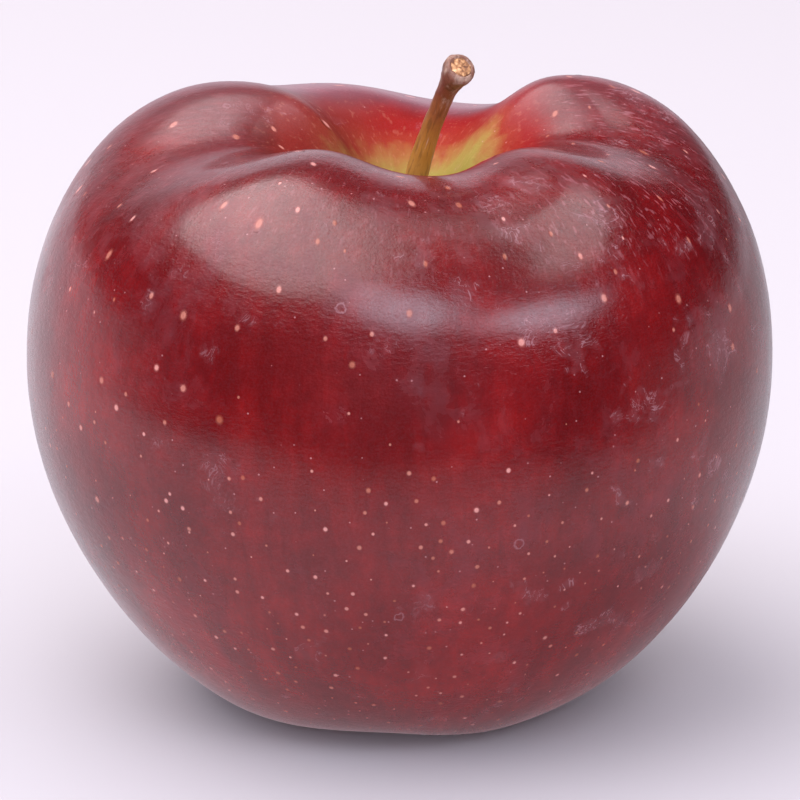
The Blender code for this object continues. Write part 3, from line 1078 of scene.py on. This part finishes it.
# %% The pith in the scar
def pith_tree():
    """A disc of crumbly pith, flat underneath, lying on the XY plane and looking up."""
    sizes = {"Radius": SCAR_RADIUS - RIM_WIDTH, "Thickness": 0.34 * MM, "Crumble": 0.34 * MM}
    shape = ShapeTree("pith", sizes)
    inputs = {
        "Vertices": 36,
        "Side Segments": 1,
        "Fill Segments": 12,
        "Radius": shape.given("Radius"),
        "Depth": shape.given("Thickness"),
    }
    disc = shape.node("GeometryNodeMeshCylinder", {"fill_type": "TRIANGLE_FAN"}, inputs)
    place = shape.node("GeometryNodeInputPosition")
    x, y, z = shape.split(place)
    crumbs = shape.noise(place, 0.5 * MM, detail=2.0) + shape.noise(place, 1.3 * MM) - 1
    rounding = shape.fade((x * x + y * y) ** 0.5, shape.given("Radius") * 0.75, shape.given("Radius"))
    lift = (crumbs * shape.given("Crumble") - rounding * (0.10 * MM)) * shape.fade(z, 0.0, 0.1 * MM)
    shape.close(shape.move(disc, offset=shape.combine(0.0, 0.0, lift)), PITH)
    return shape


def blank_mesh():
    """Something for a tree to run on when it makes all of its geometry itself."""
    return bpy.data.meshes.new("blank")


pith = grow("stalk_scar", blank_mesh(), pith_tree())
facing = SCAR_FACING.to_track_quat("Z", "Y").to_matrix().to_4x4()
pith.data.transform(Matrix.Translation(SCAR_MIDDLE - SCAR_FACING * (HOLLOW_DEPTH + PITH_SUNK)) @ facing)
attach(pith, "root")

# %% [markdown]
# ## The eye, underneath
#
# The far end of an apple keeps what is left of its flower: five sepals, dried and curled, round a tuft of
# dead stamens. They are seen only when the apple is turned over, and they are what tells a real apple from a
# ball. Each sepal is its frame's solid, subdivided and crumpled by moving both of its faces together, so it
# keeps its thickness. The stamens are bent threads with a knob at the end of each, on curves that Geometry
# Nodes bends.

# %% Dry materials
def dry_material(name, dark, pale, size):
    """Withered plant matter: fibrous, matt and uneven in colour."""
    material, tree = new_material(name)
    place = tree.object_place()
    fibres = tree.noise(place, size, detail=4.0, roughness=0.65, distortion=0.6)
    colour = ramp(tree, fibres, (0.32, dark), (0.68, pale))
    bumps = tree.bump(fibres * (0.10 * MM))
    inputs = {"Base Color": colour, "Roughness": 0.7 + fibres * 0.25, "Normal": bumps}
    finish_material(tree, tree.node("ShaderNodeBsdfPrincipled", None, inputs))
    return material


DRY_SEPAL = dry_material("dry_sepal", srgb(66, 44, 28), srgb(152, 126, 92), 0.8 * MM)
DRY_STAMEN = dry_material("dry_stamen", srgb(38, 24, 18), srgb(104, 74, 50), 0.4 * MM)
print("dry materials")

# %% Sepals
def sepal_tree():
    sizes = {"Subdivisions": 2, "Crumple": 0.55 * MM, "Fold Size": 1.6 * MM}
    shape = ShapeTree("crumpled_sepal", sizes)
    smooth = shape.subdivided()
    folds = shape.jitter(shape.node("GeometryNodeInputPosition"), shape.given("Fold Size"))
    shape.close(shape.move(smooth, offset=shape.scaled(folds, shape.given("Crumple"))), DRY_SEPAL)
    return shape


sepal_shape = sepal_tree()
for number in range(1, 6):
    node = f"sepal_{number}"
    sepal = grow(f"dry_{node}", tidy_copy(node), sepal_shape)
    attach(sepal, "root")
    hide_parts(node)

# %% Stamens
TUFT_LOW, TUFT_HIGH = (Vector(corner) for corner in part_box("stamen_tuft"))
RING_SCATTER = 0.4 * MM
BEND_SIZE = 2.6 * MM
KNOB_RATIO = 2.2  # radius of a knob, as a share of its thread's


def stamen_tree():
    """Threads that hang from a ring at the roof of the eye, bent by noise, each with a knob at its end."""
    sizes = {
        "Threads": 17,
        "Ring Radius": (TUFT_HIGH.x - TUFT_LOW.x) * 0.33,
        "Length": (TUFT_HIGH.z - TUFT_LOW.z) * 0.93,
        "Thread Radius": 0.13 * MM,
        "Bend": 1.5 * MM,
        "Seed": 3,
    }
    shape = ShapeTree("stamens", sizes)
    seed = shape.given("Seed")
    circle = {"Vertices": shape.given("Threads"), "Radius": shape.given("Ring Radius")}
    ring = shape.node("GeometryNodeMeshCircle", None, circle)
    stray_x = shape.random(-RING_SCATTER, RING_SCATTER, seed)
    stray_y = shape.random(-RING_SCATTER, RING_SCATTER, seed + 1)
    scattered = shape.move(ring, offset=shape.combine(stray_x, stray_y, 0.0))
    line = shape.node("GeometryNodeCurvePrimitiveLine", None, {"Start": (0, 0, 0), "End": (0, 0, -1)})
    line = shape.node("GeometryNodeResampleCurve", None, {"Curve": line, "Count": 8})
    long = shape.given("Length") * shape.random(0.7, 1.0, seed + 2)
    placed = {"Points": scattered, "Instance": line, "Scale": shape.combine(1.0, 1.0, long)}
    hung = shape.node("GeometryNodeInstanceOnPoints", None, placed)
    threads = shape.node("GeometryNodeRealizeInstances", None, [hung])
    # The bend grows from nothing at the root to its full size at the tip.
    place = shape.node("GeometryNodeInputPosition")
    _, _, depth = shape.split(place)
    share = depth * shape.given("Bend") / shape.given("Length") * -2
    pushed = shape.vector("MULTIPLY", shape.jitter(place, BEND_SIZE), shape.combine(share, share, 0.0))
    threads = shape.move(threads, offset=pushed)
    thick = shape.given("Thread Radius")
    outline = shape.node("GeometryNodeCurvePrimitiveCircle", None, {"Resolution": 6, "Radius": thick})
    tube = {"Curve": threads, "Profile Curve": outline, "Fill Caps": True}
    tubes = shape.node("GeometryNodeCurveToMesh", None, tube)
    ends = shape.node("GeometryNodeCurveEndpointSelection", None, {"Start Size": 0, "End Size": 1})
    knob = shape.node("GeometryNodeMeshIcoSphere", None, {"Radius": thick * KNOB_RATIO, "Subdivisions": 2})
    tips = {"Points": threads, "Selection": ends, "Instance": knob, "Scale": (1.0, 0.75, 1.5)}
    knobs = shape.node("GeometryNodeInstanceOnPoints", None, tips)
    shape.close(shape.join(tubes, knobs), DRY_STAMEN)
    return shape


stamens = grow("stamens", blank_mesh(), stamen_tree())
stamens.data.transform(Matrix.Translation((AXIS.x, AXIS.y, TUFT_HIGH.z)))
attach(stamens, "root")
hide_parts("stamen_tuft")
